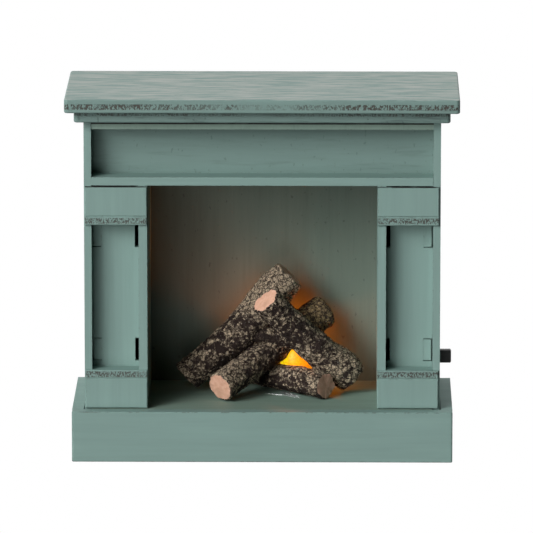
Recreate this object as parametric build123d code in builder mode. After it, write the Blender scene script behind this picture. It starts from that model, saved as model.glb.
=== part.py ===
from build123d import *
import math
import os

# Miniature fireplace mantel for a dolls house, built from thin boards glued edge to face.
# Millimetres. X runs to the right, Y to the back and Z up. The fireplace faces -Y, and the
# origin is the middle of its footprint, on the surface that it stands on.
# Depths are measured backwards from the front face of the plinth.

os.makedirs("parts", exist_ok=True)

# Overall size
TOTAL_DEPTH = 54.5
SHELF_OVERHANG = 2.5
SHELF_HALF_WIDTH = 64.0
SHELF_TOP = 120.7
SHELF_BOTTOM = 116.2
MOULDING_HALF_WIDTH = 61.0
MOULDING_FRONT = 1.0
MOULDING_BOTTOM = 112.5
CORNER_RADIUS = 1.3
ARRIS = 0.5

# Carcass boards
BACK_FACE = TOTAL_DEPTH - SHELF_OVERHANG
BOARD = 2.4
BACK_BOARD = 4.4
BACK_PANEL_FRONT = BACK_FACE - BACK_BOARD
STILE_FRONT = 5.6
SIDE_OUTER = 58.0
SIDE_INNER = SIDE_OUTER - BOARD
TOP_BOARD_BOTTOM = 109.5
TOP_BOARD_FRONT = 6.0
TOP_REBATE = 0.6
TOP_REBATE_DEPTH = 1.8
LINTEL_TOP = 93.7
LINTEL_BOTTOM = 90.95
FRIEZE_FRONT = 13.5

# Firebox
OPENING_HALF_WIDTH = 37.5
CHEEK_OUTER = 40.3
HEARTH_TOP = 16.8
HEARTH_BOTTOM = HEARTH_TOP - BOARD

# Plinth
PLINTH_HALF_WIDTH = 62.15
PLINTH_THICKNESS = 4.1
PLINTH_GAP = 0.35
PLINTH_GAP_DEPTH = 5.0
BASE_BOARD_TOP = 1.2
GLUE_BLOCK_SIDE = 6.0
GLUE_BLOCK_XS = (-49.0, -18.0, 12.0, 36.0)

# Pilasters: a recessed panel between two stiles, with a block at its head and its foot
PANEL_FRONT = 11.4
PANEL_BACK = PANEL_FRONT + BOARD
CAP_FRONT = 4.6
CAP_RANGE = (80.9, 90.7)
CAP_LEDGE_RANGE = (78.0, 80.9)
FOOT_RANGE = (17.05, 27.0)
FOOT_LEDGE_RANGE = (27.0, 29.7)
BLOCK_OUTER_LEFT = 57.7
BLOCK_OUTER_RIGHT = 57.5
BLOCK_ARRIS = 0.25
SLOT_RANGES = ((31.5, 39.1), (69.4, 77.6))
OUTER_SLOT_WIDTH = 3.0
INNER_SLOT_WIDTH = 1.4
LINER_INNER = 52.6
TAB_OUTER = 55.15
TAB_CLEARANCE = 0.3
TAB_SETBACK = 0.1

# Slide switch on the right-hand side board
SWITCH_DEPTH = 28.0
SWITCH_HEIGHT = 28.45
SWITCH_TRAVEL = 2.5
LEVER_HEIGHT = 4.2
LEVER_WIDTH = 2.4
LEVER_TOP = 31.8
LEVER_TIP = 62.0
LEVER_FOOT = 49.5
LEVER_CLEARANCE = 0.25
LEVER_CHAMFER = 0.3
SWITCH_BODY_INNER = 47.0
SWITCH_BODY_WIDTH = 4.4
SWITCH_BODY_HEIGHT = 9.1
BRACKET_THICKNESS = 0.4
BRACKET_WIDTH = 6.0
BRACKET_HEIGHT = 16.0
SWITCH_SCREW_PITCH = 13.8
SWITCH_SCREW_RADIUS = 0.6
SWITCH_SCREW_HEAD_RADIUS = 1.2
SWITCH_SCREW_HEAD = 0.7
SWITCH_SCREW_LENGTH = 2.6
TERMINAL_PITCH = 2.5
TERMINAL_LENGTH = 2.4
TERMINAL_WIDTH = 1.2
TERMINAL_THICKNESS = 0.4

# Battery bay: two AAA cells end to end along X, behind a cover in the foot of the back
CELL_RADIUS = 5.25
CELL_LENGTH = 44.5
CELL_NUB_LENGTH = 1.2
CELL_NUB_RADIUS = 1.9
CELL_EDGE = 0.6
SPRING_LENGTH = 2.9
SPRING_RADIUS = 2.6
SPRING_WIRE_RADIUS = 0.22
SPRING_TURNS = 3
PLATE_THICKNESS = 0.4
PLATE_WIDTH = 8.0
PLATE_TAB_WIDTH = 2.0
PLATE_TAB_REACH = 1.6
BAY_HALF_WIDTH = CELL_LENGTH + (SPRING_LENGTH + 2 * PLATE_THICKNESS) / 2
TRAY_HALF_WIDTH = 51.9
TRAY_WALL = 0.8
TRAY_FRONT = 34.0
TRAY_TOP = 13.6
COVER_HALF_WIDTH = 52.5
COVER_RANGE = (0.3, 13.6)
COVER_GAP = 0.3
COVER_SCREW_X = 49.5
SCREW_RADIUS = 0.7
SCREW_CLEARANCE = 0.05
SCREW_HEAD_RADIUS = 1.7
SCREW_LENGTH = 11.0
SCREW_SLOT_WIDTH = 0.4
SCREW_SLOT_DEPTH = 0.45

# Lamp: an upright bulb on two legs, and the translucent lump of embers around it
LED_BASE = (9.9, 39.9, 26.6)
LED_RADIUS = 1.5
LED_LENGTH = 5.3
LED_FLANGE_RADIUS = 1.9
LED_FLANGE = 0.9
LED_LEG_PITCH = 2.54
LED_LEG_WIDTH = 0.5
LED_LEG_DROP = 6.5
EMBER_X = 11.0
EMBER_DEPTH = 38.4
EMBER_BOTTOM = 21.5
EMBER_HEIGHT = 10.6
EMBER_HALF_LENGTH = 5.4
EMBER_HALF_DEPTH = 3.9
# Share of the height, and the share of the plan's size that it has there
EMBER_PROFILE = ((0.0, 0.8), (0.4, 1.0), (0.75, 0.8), (1.0, 0.4))

# Glue beads: X, depth, radius, height
GLUE_BEADS = ((6.6, 28.6, 1.0, 0.5), (8.3, 26.6, 1.3, 0.6), (10.0, 24.6, 0.9, 0.4))

# Wires, and the holes in the hearth that they pass through
WIRE_RADIUS = 0.45
BEND_SHARE = 0.4
WIRE_HOLE_RADIUS = 3.2
WIRE_HOLE_X = 47.2
WIRE_HOLE_DEPTH = 25.4
LAMP_HOLE_RADIUS = 2.6
LAMP_HOLE_X = 17.2
LAMP_HOLE_DEPTH = 30.1
UNDER_HEARTH = 5.0
ON_HEARTH = 18.0

# The offcut is pared to sit between the other logs, so it comes last
FITTED_LOG = "log_offcut"

# Logs: name, number of sides, and sections from end to end as (X, depth, Z) and radius
LOGS = (
    (
        "log_rear_left",
        11,
        (
            ((-25.3, 31.9, 21.7), 5.2),
            ((-17.0, 32.6, 28.4), 5.3),
            ((-7.7, 33.1, 36.2), 6.0),
            ((3.6, 34.0, 50.1), 6.4),
            ((8.7, 34.3, 55.7), 5.3),
        ),
    ),
    (
        "log_front_left",
        10,
        (
            ((-14.0, 15.0, 21.7), 4.8),
            ((6.0, 39.3, 31.6), 5.0),
        ),
    ),
    (
        "log_upper_right",
        11,
        (
            ((0.8, 21.6, 49.5), 4.9),
            ((12.5, 26.5, 37.3), 5.0),
            ((19.3, 28.4, 30.2), 5.5),
            ((26.4, 30.2, 24.8), 6.3),
            ((29.3, 31.0, 21.6), 5.3),
        ),
    ),
    (
        "log_front_right",
        8,
        (
            ((20.7, 19.0, 21.4), 4.5),
            ((11.0, 28.3, 21.6), 4.7),
            ((-4.0, 42.4, 20.7), 3.6),
        ),
    ),
    (
        "log_rear_right",
        11,
        (
            ((13.6, 37.3, 38.3), 5.3),
            ((21.2, 40.3, 42.9), 5.7),
        ),
    ),
    (
        "log_offcut",
        9,
        (
            ((-4.5, 32.0, 37.0), 3.5),
            ((12.4, 33.0, 33.3), 3.3),
        ),
    ),
)


def at(x, depth, z):
    """A point given by its X, its depth behind the plinth's front face, and its Z."""
    return (x, depth + SHELF_OVERHANG - TOTAL_DEPTH / 2, z)


def block(low, high, mode=Mode.ADD):
    """Add or cut a block between two corners given as (X, depth, Z)."""
    corner = at(*low)
    opposite = at(*high)
    size = [opposite[axis] - corner[axis] for axis in range(3)]
    with Locations(corner):
        Box(*size, align=(Align.MIN, Align.MIN, Align.MIN), mode=mode)


def handed(side, near, far):
    """The lower and the higher X of a span on the left (-1) or right (+1) side."""
    return sorted((side * near, side * far))


def lever_slot(low_x, high_x, clearance):
    """Cut the room that the switch's lever sweeps, through a span of X."""
    block(
        (
            low_x,
            SWITCH_DEPTH - LEVER_WIDTH / 2 - clearance,
            LEVER_TOP - LEVER_HEIGHT - SWITCH_TRAVEL - clearance,
        ),
        (high_x, SWITCH_DEPTH + LEVER_WIDTH / 2 + clearance, LEVER_TOP + clearance),
        mode=Mode.SUBTRACT,
    )


def save(piece, name):
    """Label a finished piece and write it as its own node."""
    piece.part.label = name
    export_step(piece.part, f"parts/{name}.step")


SIDES = (("left", -1), ("right", 1))

# ---------------------------------------------------------------- shelf and upper frame

with BuildPart() as mantel_shelf:
    block((-SHELF_HALF_WIDTH, -SHELF_OVERHANG, SHELF_BOTTOM), (SHELF_HALF_WIDTH, BACK_FACE, SHELF_TOP))
    fillet(mantel_shelf.edges().filter_by(Axis.Z), CORNER_RADIUS)
    fillet(mantel_shelf.faces().sort_by(Axis.Z)[-1].edges(), ARRIS)
    fillet(mantel_shelf.faces().sort_by(Axis.Z)[0].edges(), ARRIS)
save(mantel_shelf, "mantel_shelf")

with BuildPart() as shelf_moulding:
    block(
        (-MOULDING_HALF_WIDTH, MOULDING_FRONT, MOULDING_BOTTOM),
        (MOULDING_HALF_WIDTH, BACK_FACE, SHELF_BOTTOM),
    )
    fillet(shelf_moulding.edges().filter_by(Axis.Z), CORNER_RADIUS)
    fillet(shelf_moulding.faces().sort_by(Axis.Z)[0].edges(), ARRIS)
save(shelf_moulding, "shelf_moulding")

with BuildPart() as top_board:
    block((-SIDE_INNER, TOP_BOARD_FRONT, TOP_BOARD_BOTTOM), (SIDE_INNER, BACK_PANEL_FRONT, MOULDING_BOTTOM))
    block(
        (-SIDE_INNER, TOP_BOARD_FRONT, MOULDING_BOTTOM - TOP_REBATE),
        (SIDE_INNER, TOP_BOARD_FRONT + TOP_REBATE_DEPTH, MOULDING_BOTTOM),
        mode=Mode.SUBTRACT,
    )
save(top_board, "top_board")

with BuildPart() as lintel_board:
    block((-SIDE_INNER, STILE_FRONT, LINTEL_BOTTOM), (SIDE_INNER, BACK_PANEL_FRONT, LINTEL_TOP))
save(lintel_board, "lintel_board")

with BuildPart() as frieze_panel:
    block((-SIDE_INNER, FRIEZE_FRONT, LINTEL_TOP), (SIDE_INNER, FRIEZE_FRONT + BOARD, TOP_BOARD_BOTTOM))
save(frieze_panel, "frieze_panel")

# ---------------------------------------------------------------- sides and pilasters

for side_name, side in SIDES:
    with BuildPart() as side_board:
        low_x, high_x = handed(side, SIDE_INNER, SIDE_OUTER)
        block((low_x, STILE_FRONT, 0), (high_x, BACK_PANEL_FRONT, MOULDING_BOTTOM))
        if side_name == "right":
            lever_slot(low_x, high_x, LEVER_CLEARANCE)
    save(side_board, f"side_board_{side_name}")

    with BuildPart() as cheek_board:
        low_x, high_x = handed(side, OPENING_HALF_WIDTH, CHEEK_OUTER)
        block((low_x, STILE_FRONT, HEARTH_TOP), (high_x, BACK_PANEL_FRONT, LINTEL_BOTTOM))
    save(cheek_board, f"cheek_board_{side_name}")

    with BuildPart() as pilaster_panel:
        low_x, high_x = handed(side, CHEEK_OUTER, SIDE_INNER)
        block((low_x, PANEL_FRONT, HEARTH_TOP), (high_x, PANEL_BACK, LINTEL_BOTTOM))
        for slot_bottom, slot_top in SLOT_RANGES:
            outer_low, outer_high = handed(side, SIDE_INNER - OUTER_SLOT_WIDTH, SIDE_INNER)
            inner_low, inner_high = handed(side, CHEEK_OUTER, CHEEK_OUTER + INNER_SLOT_WIDTH)
            block((outer_low, PANEL_FRONT, slot_bottom), (outer_high, PANEL_BACK, slot_top), Mode.SUBTRACT)
            block((inner_low, PANEL_FRONT, slot_bottom), (inner_high, PANEL_BACK, slot_top), Mode.SUBTRACT)
    save(pilaster_panel, f"pilaster_panel_{side_name}")

    with BuildPart() as column_liner:
        low_x, high_x = handed(side, LINER_INNER, SIDE_INNER)
        block((low_x, PANEL_BACK, HEARTH_TOP), (high_x, BACK_PANEL_FRONT, LINTEL_BOTTOM))
        for slot_bottom, slot_top in SLOT_RANGES:
            tab_low, tab_high = handed(side, LINER_INNER, TAB_OUTER)
            block(
                (tab_low, PANEL_FRONT + TAB_SETBACK, slot_bottom + TAB_CLEARANCE),
                (tab_high, PANEL_BACK, slot_top - TAB_CLEARANCE),
            )
        if side_name == "right":
            lever_slot(low_x, high_x, 2 * LEVER_CLEARANCE)
            screw_face = Plane(at(LINER_INNER, SWITCH_DEPTH, SWITCH_HEIGHT), z_dir=(1, 0, 0))
            with Locations(screw_face):
                with GridLocations(SWITCH_SCREW_PITCH, 1, 2, 1):
                    Cylinder(
                        SWITCH_SCREW_RADIUS,
                        SWITCH_SCREW_LENGTH - BRACKET_THICKNESS,
                        align=(Align.CENTER, Align.CENTER, Align.MIN),
                        mode=Mode.SUBTRACT,
                    )
    save(column_liner, f"column_liner_{side_name}")

    block_outer = BLOCK_OUTER_RIGHT if side_name == "right" else BLOCK_OUTER_LEFT
    for block_name, (bottom, top) in (
        ("cap_block", CAP_RANGE),
        ("cap_ledge", CAP_LEDGE_RANGE),
        ("foot_block", FOOT_RANGE),
        ("foot_ledge", FOOT_LEDGE_RANGE),
    ):
        with BuildPart() as pilaster_block:
            low_x, high_x = handed(side, OPENING_HALF_WIDTH, block_outer)
            block((low_x, CAP_FRONT, bottom), (high_x, STILE_FRONT, top))
            chamfer(pilaster_block.faces().sort_by(Axis.Y)[0].edges(), BLOCK_ARRIS)
            low_x, high_x = handed(side, CHEEK_OUTER, SIDE_INNER)
            block((low_x, STILE_FRONT, bottom), (high_x, PANEL_FRONT, top))
        save(pilaster_block, f"{block_name}_{side_name}")

    with BuildPart() as plinth_side:
        low_x, high_x = handed(side, SIDE_OUTER, PLINTH_HALF_WIDTH)
        block((low_x, PLINTH_THICKNESS, 0), (high_x, BACK_FACE, HEARTH_TOP))
        low_x, high_x = handed(side, SIDE_OUTER, SIDE_OUTER + PLINTH_GAP)
        block(
            (low_x, PLINTH_THICKNESS, HEARTH_TOP - PLINTH_GAP_DEPTH),
            (high_x, BACK_FACE, HEARTH_TOP),
            mode=Mode.SUBTRACT,
        )
    save(plinth_side, f"plinth_{side_name}")

# ---------------------------------------------------------------- plinth, hearth and back

with BuildPart() as plinth_front:
    block((-PLINTH_HALF_WIDTH, 0, 0), (PLINTH_HALF_WIDTH, PLINTH_THICKNESS, HEARTH_TOP))
    chamfer(plinth_front.faces().sort_by(Axis.Y)[0].edges(), BLOCK_ARRIS)
save(plinth_front, "plinth_front")

with BuildPart() as base_board:
    block((-SIDE_INNER, PLINTH_THICKNESS, 0), (SIDE_INNER, BACK_PANEL_FRONT, BASE_BOARD_TOP))
save(base_board, "base_board")

with BuildPart() as hearth_board:
    block((-SIDE_INNER, PLINTH_THICKNESS, HEARTH_BOTTOM), (SIDE_INNER, BACK_PANEL_FRONT, HEARTH_TOP))
    with Locations(at(WIRE_HOLE_X, WIRE_HOLE_DEPTH, HEARTH_TOP)):
        Hole(WIRE_HOLE_RADIUS)
    with Locations(at(LAMP_HOLE_X, LAMP_HOLE_DEPTH, HEARTH_TOP)):
        Hole(LAMP_HOLE_RADIUS)
save(hearth_board, "hearth_board")

with BuildPart() as back_panel:
    block((-SIDE_OUTER, BACK_PANEL_FRONT, 0), (SIDE_OUTER, BACK_FACE, MOULDING_BOTTOM))
    block(
        (-COVER_HALF_WIDTH - COVER_GAP, BACK_PANEL_FRONT, 0),
        (COVER_HALF_WIDTH + COVER_GAP, BACK_FACE, COVER_RANGE[1] + COVER_GAP),
        mode=Mode.SUBTRACT,
    )
save(back_panel, "back_panel")

# Short square blocks glued into the corner between the hearth and the plinth front
with BuildPart() as glue_blocks:
    for block_x in GLUE_BLOCK_XS:
        block(
            (block_x - GLUE_BLOCK_SIDE, PLINTH_THICKNESS, HEARTH_BOTTOM - GLUE_BLOCK_SIDE),
            (block_x + GLUE_BLOCK_SIDE, PLINTH_THICKNESS + GLUE_BLOCK_SIDE, HEARTH_BOTTOM),
        )
save(glue_blocks, "glue_blocks")

# ---------------------------------------------------------------- logs

log_shapes = []
for log_name, log_sides, log_sections in LOGS:
    section_points = [Vector(*at(*centre)) for centre, section_radius in log_sections]
    log_axis = section_points[-1] - section_points[0]
    with BuildPart() as log:
        for section_point, (centre, section_radius) in zip(section_points, log_sections):
            with BuildSketch(Plane(section_point, z_dir=log_axis)):
                RegularPolygon(section_radius, log_sides)
        loft(ruled=True)
        if log_name == FITTED_LOG:
            for log_shape in log_shapes:
                add(log_shape, mode=Mode.SUBTRACT)
    log_shapes.append(log.part)
    save(log, log_name)

# ---------------------------------------------------------------- lamp and embers

# The bulb stands upright in the middle of the pile, close to the back
led_base = Vector(*at(*LED_BASE))
with BuildPart() as led_bulb:
    with BuildSketch(Plane(led_base, x_dir=(0, 0, 1), z_dir=(0, 1, 0))):
        with BuildLine():
            Polyline(
                (LED_LENGTH - LED_RADIUS, LED_RADIUS),
                (LED_FLANGE, LED_RADIUS),
                (LED_FLANGE, LED_FLANGE_RADIUS),
                (0, LED_FLANGE_RADIUS),
                (0, 0),
                (LED_LENGTH, 0),
            )
            ThreePointArc(
                (LED_LENGTH, 0),
                (LED_LENGTH - LED_RADIUS * (1 - math.sqrt(0.5)), LED_RADIUS * math.sqrt(0.5)),
                (LED_LENGTH - LED_RADIUS, LED_RADIUS),
            )
        make_face()
    revolve(axis=Axis(led_base, (0, 0, 1)))
save(led_bulb, "led_bulb")

with BuildPart() as led_legs:
    with Locations(led_base):
        with GridLocations(LED_LEG_PITCH, 1, 2, 1):
            Box(
                LED_LEG_WIDTH,
                LED_LEG_WIDTH,
                LED_LEG_DROP,
                align=(Align.CENTER, Align.CENTER, Align.MAX),
            )
save(led_legs, "led_legs")

# A translucent lump around the bulb, which fills the gap between the logs around it
with BuildPart() as ember_core:
    for level, spread in EMBER_PROFILE:
        with BuildSketch(Plane(at(EMBER_X, EMBER_DEPTH, EMBER_BOTTOM + level * EMBER_HEIGHT))):
            Ellipse(spread * EMBER_HALF_LENGTH, spread * EMBER_HALF_DEPTH)
    loft()
    for log_shape in log_shapes:
        add(log_shape, mode=Mode.SUBTRACT)
    add(led_bulb.part, mode=Mode.SUBTRACT)
    add(led_legs.part, mode=Mode.SUBTRACT)
save(ember_core, "ember_core")

# Flattened beads of clear glue squeezed out under the front log
with BuildPart() as glue_beads:
    for bead_x, bead_depth, bead_radius, bead_height in GLUE_BEADS:
        with Locations(at(bead_x, bead_depth, HEARTH_TOP)):
            Cone(
                bead_radius,
                bead_radius / 2,
                bead_height,
                align=(Align.CENTER, Align.CENTER, Align.MIN),
            )
    for log_shape in log_shapes:
        add(log_shape, mode=Mode.SUBTRACT)
save(glue_beads, "glue_beads")

# ---------------------------------------------------------------- slide switch

with BuildPart() as switch_lever:
    block(
        (LEVER_FOOT, SWITCH_DEPTH - LEVER_WIDTH / 2, LEVER_TOP - LEVER_HEIGHT),
        (LEVER_TIP, SWITCH_DEPTH + LEVER_WIDTH / 2, LEVER_TOP),
    )
    chamfer(switch_lever.faces().sort_by(Axis.X)[-1].edges(), LEVER_CHAMFER)
save(switch_lever, "switch_lever")

bracket_inner = LINER_INNER - BRACKET_THICKNESS

with BuildPart() as switch_body:
    block(
        (SWITCH_BODY_INNER, SWITCH_DEPTH - SWITCH_BODY_WIDTH / 2, SWITCH_HEIGHT - SWITCH_BODY_HEIGHT / 2),
        (bracket_inner, SWITCH_DEPTH + SWITCH_BODY_WIDTH / 2, SWITCH_HEIGHT + SWITCH_BODY_HEIGHT / 2),
    )
    lever_slot(LEVER_FOOT - LEVER_CLEARANCE, bracket_inner, LEVER_CLEARANCE)
save(switch_body, "switch_body")

with BuildPart() as switch_bracket:
    block(
        (bracket_inner, SWITCH_DEPTH - BRACKET_WIDTH / 2, SWITCH_HEIGHT - BRACKET_HEIGHT / 2),
        (LINER_INNER, SWITCH_DEPTH + BRACKET_WIDTH / 2, SWITCH_HEIGHT + BRACKET_HEIGHT / 2),
    )
    lever_slot(bracket_inner, LINER_INNER, LEVER_CLEARANCE)
    for screw_side in (-1, 1):
        screw_z = SWITCH_HEIGHT + screw_side * SWITCH_SCREW_PITCH / 2
        with Locations(Plane(at(bracket_inner, SWITCH_DEPTH, screw_z), z_dir=(1, 0, 0))):
            Cylinder(
                SWITCH_SCREW_RADIUS,
                BRACKET_THICKNESS,
                align=(Align.CENTER, Align.CENTER, Align.MIN),
                mode=Mode.SUBTRACT,
            )
save(switch_bracket, "switch_bracket")

with BuildPart() as switch_screws:
    for screw_side in (-1, 1):
        screw_z = SWITCH_HEIGHT + screw_side * SWITCH_SCREW_PITCH / 2
        with Locations(Plane(at(bracket_inner, SWITCH_DEPTH, screw_z), z_dir=(1, 0, 0))):
            Cylinder(
                SWITCH_SCREW_RADIUS,
                SWITCH_SCREW_LENGTH,
                align=(Align.CENTER, Align.CENTER, Align.MIN),
            )
            Cylinder(
                SWITCH_SCREW_HEAD_RADIUS,
                SWITCH_SCREW_HEAD,
                align=(Align.CENTER, Align.CENTER, Align.MAX),
            )
        slot_x = bracket_inner - SWITCH_SCREW_HEAD
        block(
            (slot_x, SWITCH_DEPTH - SWITCH_SCREW_HEAD_RADIUS, screw_z - SCREW_SLOT_WIDTH / 2),
            (
                slot_x + SWITCH_SCREW_HEAD / 2,
                SWITCH_DEPTH + SWITCH_SCREW_HEAD_RADIUS,
                screw_z + SCREW_SLOT_WIDTH / 2,
            ),
            mode=Mode.SUBTRACT,
        )
save(switch_screws, "switch_screws")

with BuildPart() as switch_terminals:
    for terminal in (-1, 0, 1):
        terminal_z = SWITCH_HEIGHT + terminal * TERMINAL_PITCH
        block(
            (
                SWITCH_BODY_INNER - TERMINAL_LENGTH,
                SWITCH_DEPTH - TERMINAL_WIDTH / 2,
                terminal_z - TERMINAL_THICKNESS / 2,
            ),
            (SWITCH_BODY_INNER, SWITCH_DEPTH + TERMINAL_WIDTH / 2, terminal_z + TERMINAL_THICKNESS / 2),
        )
save(switch_terminals, "switch_terminals")

# ---------------------------------------------------------------- battery bay

bay_height = (BASE_BOARD_TOP + TRAY_TOP) / 2
cell_depth = TRAY_FRONT + TRAY_WALL + CELL_RADIUS
with BuildPart() as battery_tray:
    block((-TRAY_HALF_WIDTH, TRAY_FRONT, BASE_BOARD_TOP), (TRAY_HALF_WIDTH, BACK_PANEL_FRONT, TRAY_TOP))
    block(
        (-BAY_HALF_WIDTH, TRAY_FRONT + TRAY_WALL, BASE_BOARD_TOP + TRAY_WALL),
        (BAY_HALF_WIDTH, BACK_PANEL_FRONT, TRAY_TOP - TRAY_WALL),
        mode=Mode.SUBTRACT,
    )
    for tab_side in (-1, 1):
        tab_low, tab_high = handed(tab_side, BAY_HALF_WIDTH - PLATE_THICKNESS, BAY_HALF_WIDTH)
        block(
            (tab_low, TRAY_FRONT, bay_height - PLATE_TAB_WIDTH / 2),
            (tab_high, TRAY_FRONT + TRAY_WALL, bay_height + PLATE_TAB_WIDTH / 2),
            mode=Mode.SUBTRACT,
        )
        with Locations(Plane(at(tab_side * COVER_SCREW_X, BACK_PANEL_FRONT, bay_height), z_dir=(0, 1, 0))):
            Cylinder(
                SCREW_RADIUS + SCREW_CLEARANCE,
                SCREW_LENGTH,
                align=(Align.CENTER, Align.CENTER, Align.MAX),
                mode=Mode.SUBTRACT,
            )
save(battery_tray, "battery_tray")

for plate_name, plate_side in (("contact_plate_minus", -1), ("contact_plate_plus", 1)):
    with BuildPart() as contact_plate:
        low_x, high_x = handed(plate_side, BAY_HALF_WIDTH - PLATE_THICKNESS, BAY_HALF_WIDTH)
        block(
            (low_x, cell_depth - PLATE_WIDTH / 2, bay_height - PLATE_WIDTH / 2),
            (high_x, cell_depth + PLATE_WIDTH / 2, bay_height + PLATE_WIDTH / 2),
        )
        block(
            (low_x, TRAY_FRONT - PLATE_TAB_REACH, bay_height - PLATE_TAB_WIDTH / 2),
            (high_x, cell_depth - PLATE_WIDTH / 2, bay_height + PLATE_TAB_WIDTH / 2),
        )
    save(contact_plate, plate_name)

spring_start = -BAY_HALF_WIDTH + PLATE_THICKNESS
spring_centre = at(spring_start + SPRING_WIRE_RADIUS, cell_depth, bay_height)
spring_rise = SPRING_LENGTH - 2 * SPRING_WIRE_RADIUS
with BuildPart() as battery_spring:
    with BuildLine() as spring_coil:
        Helix(
            spring_rise / SPRING_TURNS,
            spring_rise,
            SPRING_RADIUS,
            center=spring_centre,
            direction=(1, 0, 0),
        )
    with BuildSketch(Plane(spring_coil.line @ 0, z_dir=spring_coil.line % 0)):
        Circle(SPRING_WIRE_RADIUS)
    sweep()
save(battery_spring, "battery_spring")

cells_start = spring_start + SPRING_LENGTH
for cell_index, cell_name in enumerate(("battery_cell_left", "battery_cell_right")):
    cell_plane = Plane(at(cells_start + cell_index * CELL_LENGTH, cell_depth, bay_height), z_dir=(1, 0, 0))
    with BuildPart() as battery_cell:
        with Locations(cell_plane):
            Cylinder(
                CELL_RADIUS,
                CELL_LENGTH - CELL_NUB_LENGTH,
                align=(Align.CENTER, Align.CENTER, Align.MIN),
            )
        chamfer(battery_cell.edges().filter_by(GeomType.CIRCLE), CELL_EDGE)
        with Locations(cell_plane.offset(CELL_LENGTH - CELL_NUB_LENGTH)):
            Cylinder(
                CELL_NUB_RADIUS,
                CELL_NUB_LENGTH,
                align=(Align.CENTER, Align.CENTER, Align.MIN),
            )
    save(battery_cell, cell_name)

with BuildPart() as battery_cover:
    block(
        (-COVER_HALF_WIDTH, BACK_PANEL_FRONT, COVER_RANGE[0]),
        (COVER_HALF_WIDTH, BACK_FACE, COVER_RANGE[1]),
    )
    for screw_side in (-1, 1):
        with Locations(Plane(at(screw_side * COVER_SCREW_X, BACK_FACE, bay_height), z_dir=(0, 1, 0))):
            CounterSinkHole(SCREW_RADIUS, SCREW_HEAD_RADIUS, depth=BACK_BOARD, counter_sink_angle=90)
save(battery_cover, "battery_cover")

with BuildPart() as cover_screws:
    for screw_side in (-1, 1):
        with Locations(Plane(at(screw_side * COVER_SCREW_X, BACK_FACE, bay_height), z_dir=(0, 1, 0))):
            Cylinder(
                SCREW_RADIUS,
                SCREW_LENGTH,
                align=(Align.CENTER, Align.CENTER, Align.MAX),
            )
            Cone(
                SCREW_RADIUS,
                SCREW_HEAD_RADIUS,
                SCREW_HEAD_RADIUS - SCREW_RADIUS,
                align=(Align.CENTER, Align.CENTER, Align.MAX),
            )
        slot_x = screw_side * COVER_SCREW_X
        block(
            (
                slot_x - SCREW_HEAD_RADIUS,
                BACK_FACE - SCREW_SLOT_DEPTH,
                bay_height - SCREW_SLOT_WIDTH / 2,
            ),
            (slot_x + SCREW_HEAD_RADIUS, BACK_FACE, bay_height + SCREW_SLOT_WIDTH / 2),
            mode=Mode.SUBTRACT,
        )
save(cover_screws, "cover_screws")

# ---------------------------------------------------------------- wires

plate_x = BAY_HALF_WIDTH - PLATE_THICKNESS / 2
tab_end = TRAY_FRONT - PLATE_TAB_REACH
pin_x = SWITCH_BODY_INNER - TERMINAL_LENGTH
led_x, led_depth, led_z = LED_BASE
left_leg = (led_x - LED_LEG_PITCH / 2, led_depth, led_z - LED_LEG_DROP)
right_leg = (led_x + LED_LEG_PITCH / 2, led_depth, led_z - LED_LEG_DROP)

WIRE_ROUTES = {
    "wire_cell_to_switch": (
        (plate_x, tab_end, bay_height),
        (plate_x, 27.4, bay_height),
        (plate_x, 27.4, 19.2),
        (41.9, 31.6, 24.2),
        (41.9, 31.6, SWITCH_HEIGHT + TERMINAL_PITCH),
        (41.9, SWITCH_DEPTH, SWITCH_HEIGHT + TERMINAL_PITCH),
        (pin_x, SWITCH_DEPTH, SWITCH_HEIGHT + TERMINAL_PITCH),
    ),
    "wire_switch_to_lamp": (
        (pin_x, SWITCH_DEPTH, SWITCH_HEIGHT),
        (41.9, SWITCH_DEPTH, SWITCH_HEIGHT),
        (41.9, 25.6, 22.2),
        (48.2, 23.5, 18.7),
        (48.2, 23.5, 9.0),
        (43.0, 20.0, UNDER_HEARTH),
        (25.0, 22.0, UNDER_HEARTH),
        (18.3, 27.0, UNDER_HEARTH),
        (18.3, 30.6, UNDER_HEARTH + 2),
        (18.3, 30.6, ON_HEARTH),
        (right_leg[0], right_leg[1], ON_HEARTH),
        right_leg,
    ),
    "wire_lamp_to_cell": (
        left_leg,
        (left_leg[0], left_leg[1], ON_HEARTH),
        (16.1, 29.6, ON_HEARTH),
        (16.1, 29.6, UNDER_HEARTH + 2),
        (11.0, 27.0, UNDER_HEARTH),
        (-40.0, 24.0, UNDER_HEARTH),
        (-plate_x, 27.0, bay_height),
        (-plate_x, tab_end, bay_height),
    ),
}

for wire_name, route in WIRE_ROUTES.items():
    route_points = [Vector(*at(*point)) for point in route]
    radii = []
    for before, corner, after in zip(route_points, route_points[1:], route_points[2:]):
        turn = math.radians((corner - before).get_angle(after - corner))
        shorter_run = min((corner - before).length, (after - corner).length)
        radii.append(BEND_SHARE * shorter_run / math.tan(turn / 2))
    with BuildPart() as wire:
        with BuildLine() as wire_line:
            FilletPolyline(*route_points, radius=radii)
        with BuildSketch(Plane(route_points[0], z_dir=route_points[1] - route_points[0])):
            Circle(WIRE_RADIUS)
        sweep(path=wire_line.wires()[0])
    expected = wire_line.wires()[0].length * math.pi * WIRE_RADIUS**2
    print(wire_name, "radii", [round(radius, 1) for radius in radii], "volume ratio",
          round(wire.part.volume / expected, 3))
    save(wire, wire_name)
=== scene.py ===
import math

import bmesh
import bpy
import numpy as np
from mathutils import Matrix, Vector, noise


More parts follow.
